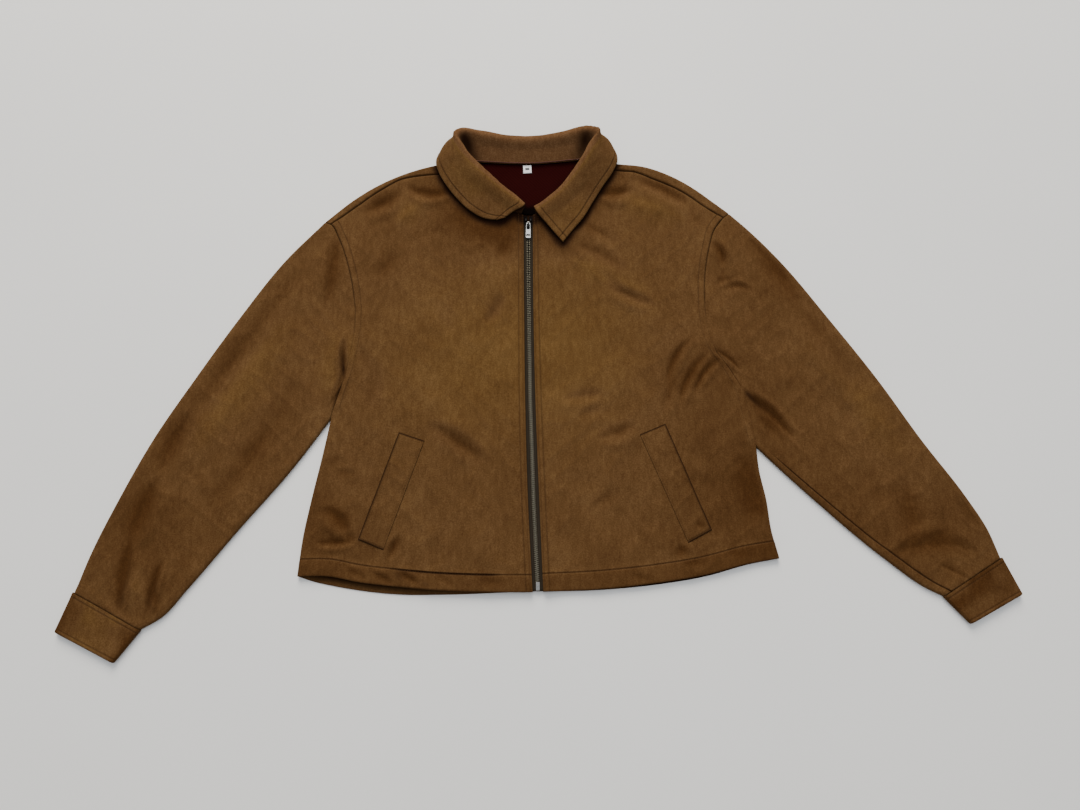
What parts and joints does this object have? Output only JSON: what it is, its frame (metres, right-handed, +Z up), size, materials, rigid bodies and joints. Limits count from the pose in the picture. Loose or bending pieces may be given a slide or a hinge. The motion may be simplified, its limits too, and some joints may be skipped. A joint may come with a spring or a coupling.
{
  "type": "suede jacket",
  "caption": "Short suede jacket with a fold-down collar, front zip with a swinging pull tab, two slanted welt pockets and cuffed long sleeves, laid flat on its back with the zip closed.",
  "frame": {"origin": "on the surface that the jacket lies on, at the middle of its plan's bounding box", "axes": "+X across the jacket toward the wearer's left sleeve, +Y from the hem toward the collar, +Z up from the surface"},
  "size_m": [1.188, 0.7073, 0.03],
  "materials": {
    "suede": "napped, matt",
    "lining": "fine plain weave, soft sheen",
    "label": "woven satin",
    "zip_tape": "woven, matt",
    "zip_teeth": "antique brass",
    "nickel": "polished nickel"
  },
  "bodies": {
    "jacket": {"back": "suede", "front_left": "suede", "front_right": "suede", "sleeve_left": "suede", "sleeve_right": "suede", "cuff_left": "suede", "cuff_right": "suede", "collar": "suede", "welt_left": "suede", "welt_right": "suede", "lining": "lining", "label": "label", "zip_tape_left": "zip_tape", "zip_tape_right": "zip_tape", "zip_chain": "zip_teeth", "zip_slider": "nickel", "zip_bail": "nickel", "zip_stop_left": "nickel", "zip_stop_right": "nickel", "zip_box": "nickel"},
    "pull_tab": {"zip_pull": "nickel"}
  },
  "joints": [
    {"name": "pull_swing", "type": "hinge", "parent": "jacket", "child": "pull_tab", "pos_m": [-0.0169, 0.21695, 0.008], "axis": [-1, 0, 0], "range_deg": [0, 110]}
  ]
}
